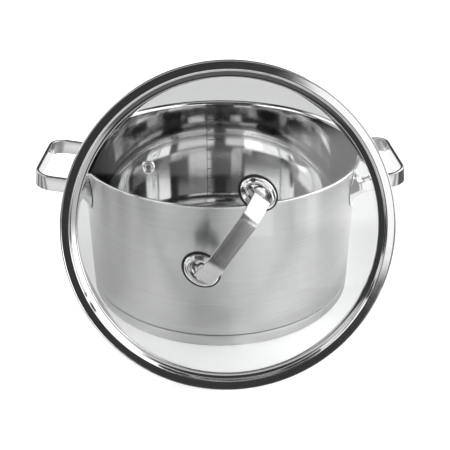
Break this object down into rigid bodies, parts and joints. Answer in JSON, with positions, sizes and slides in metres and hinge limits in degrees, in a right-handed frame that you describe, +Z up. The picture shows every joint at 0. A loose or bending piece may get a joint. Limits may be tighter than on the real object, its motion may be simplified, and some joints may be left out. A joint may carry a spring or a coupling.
{
  "type": "water bath canner",
  "caption": "Wide straight-sided steel stock pot for water bath canning, with strap side handles and a steel-banded glass lid leaning against its front rim.",
  "frame": {"origin": "centre of the pot's flat underside, on the surface that the pot stands on", "axes": "+Z up along the pot's axis; +X through the right side handle; -Y towards the leaning lid"},
  "size_m": [0.321, 0.3048, 0.2348],
  "materials": {
    "pot_steel": "satin, brushed round the pot outside and polished inside",
    "cap_steel": "satin, brushed round the pot",
    "core_aluminium": "rolled, hidden inside the base",
    "handle_steel": "satin, brushed along the strap",
    "polished_steel": "mirror polished",
    "lid_glass": "clear, tempered",
    "silicone": "matt black silicone"
  },
  "bodies": {
    "pot": {"pot_shell": "pot_steel", "base_core": "core_aluminium", "base_cap": "cap_steel", "left_handle": "handle_steel", "right_handle": "handle_steel", "left_front_foot": "polished_steel", "left_rear_foot": "polished_steel", "right_front_foot": "polished_steel", "right_rear_foot": "polished_steel"},
    "lid": {"lid_glass": "lid_glass", "lid_band": "polished_steel", "band_gasket": "silicone", "lid_handle": "handle_steel", "upper_boss": "polished_steel", "lower_boss": "polished_steel", "upper_rosette": "polished_steel", "lower_rosette": "polished_steel", "upper_gasket": "silicone", "lower_gasket": "silicone", "upper_bush": "silicone", "lower_bush": "silicone", "upper_washer": "polished_steel", "lower_washer": "polished_steel", "upper_screw": "polished_steel", "lower_screw": "polished_steel", "vent_eyelet": "polished_steel", "vent_gasket": "silicone", "vent_back_ring": "polished_steel"}
  },
  "joints": [
    {"name": "lid_lift", "type": "slide", "parent": "pot", "child": "lid", "axis": [0, 0, 1], "range_m": [0, 0.15]}
  ]
}
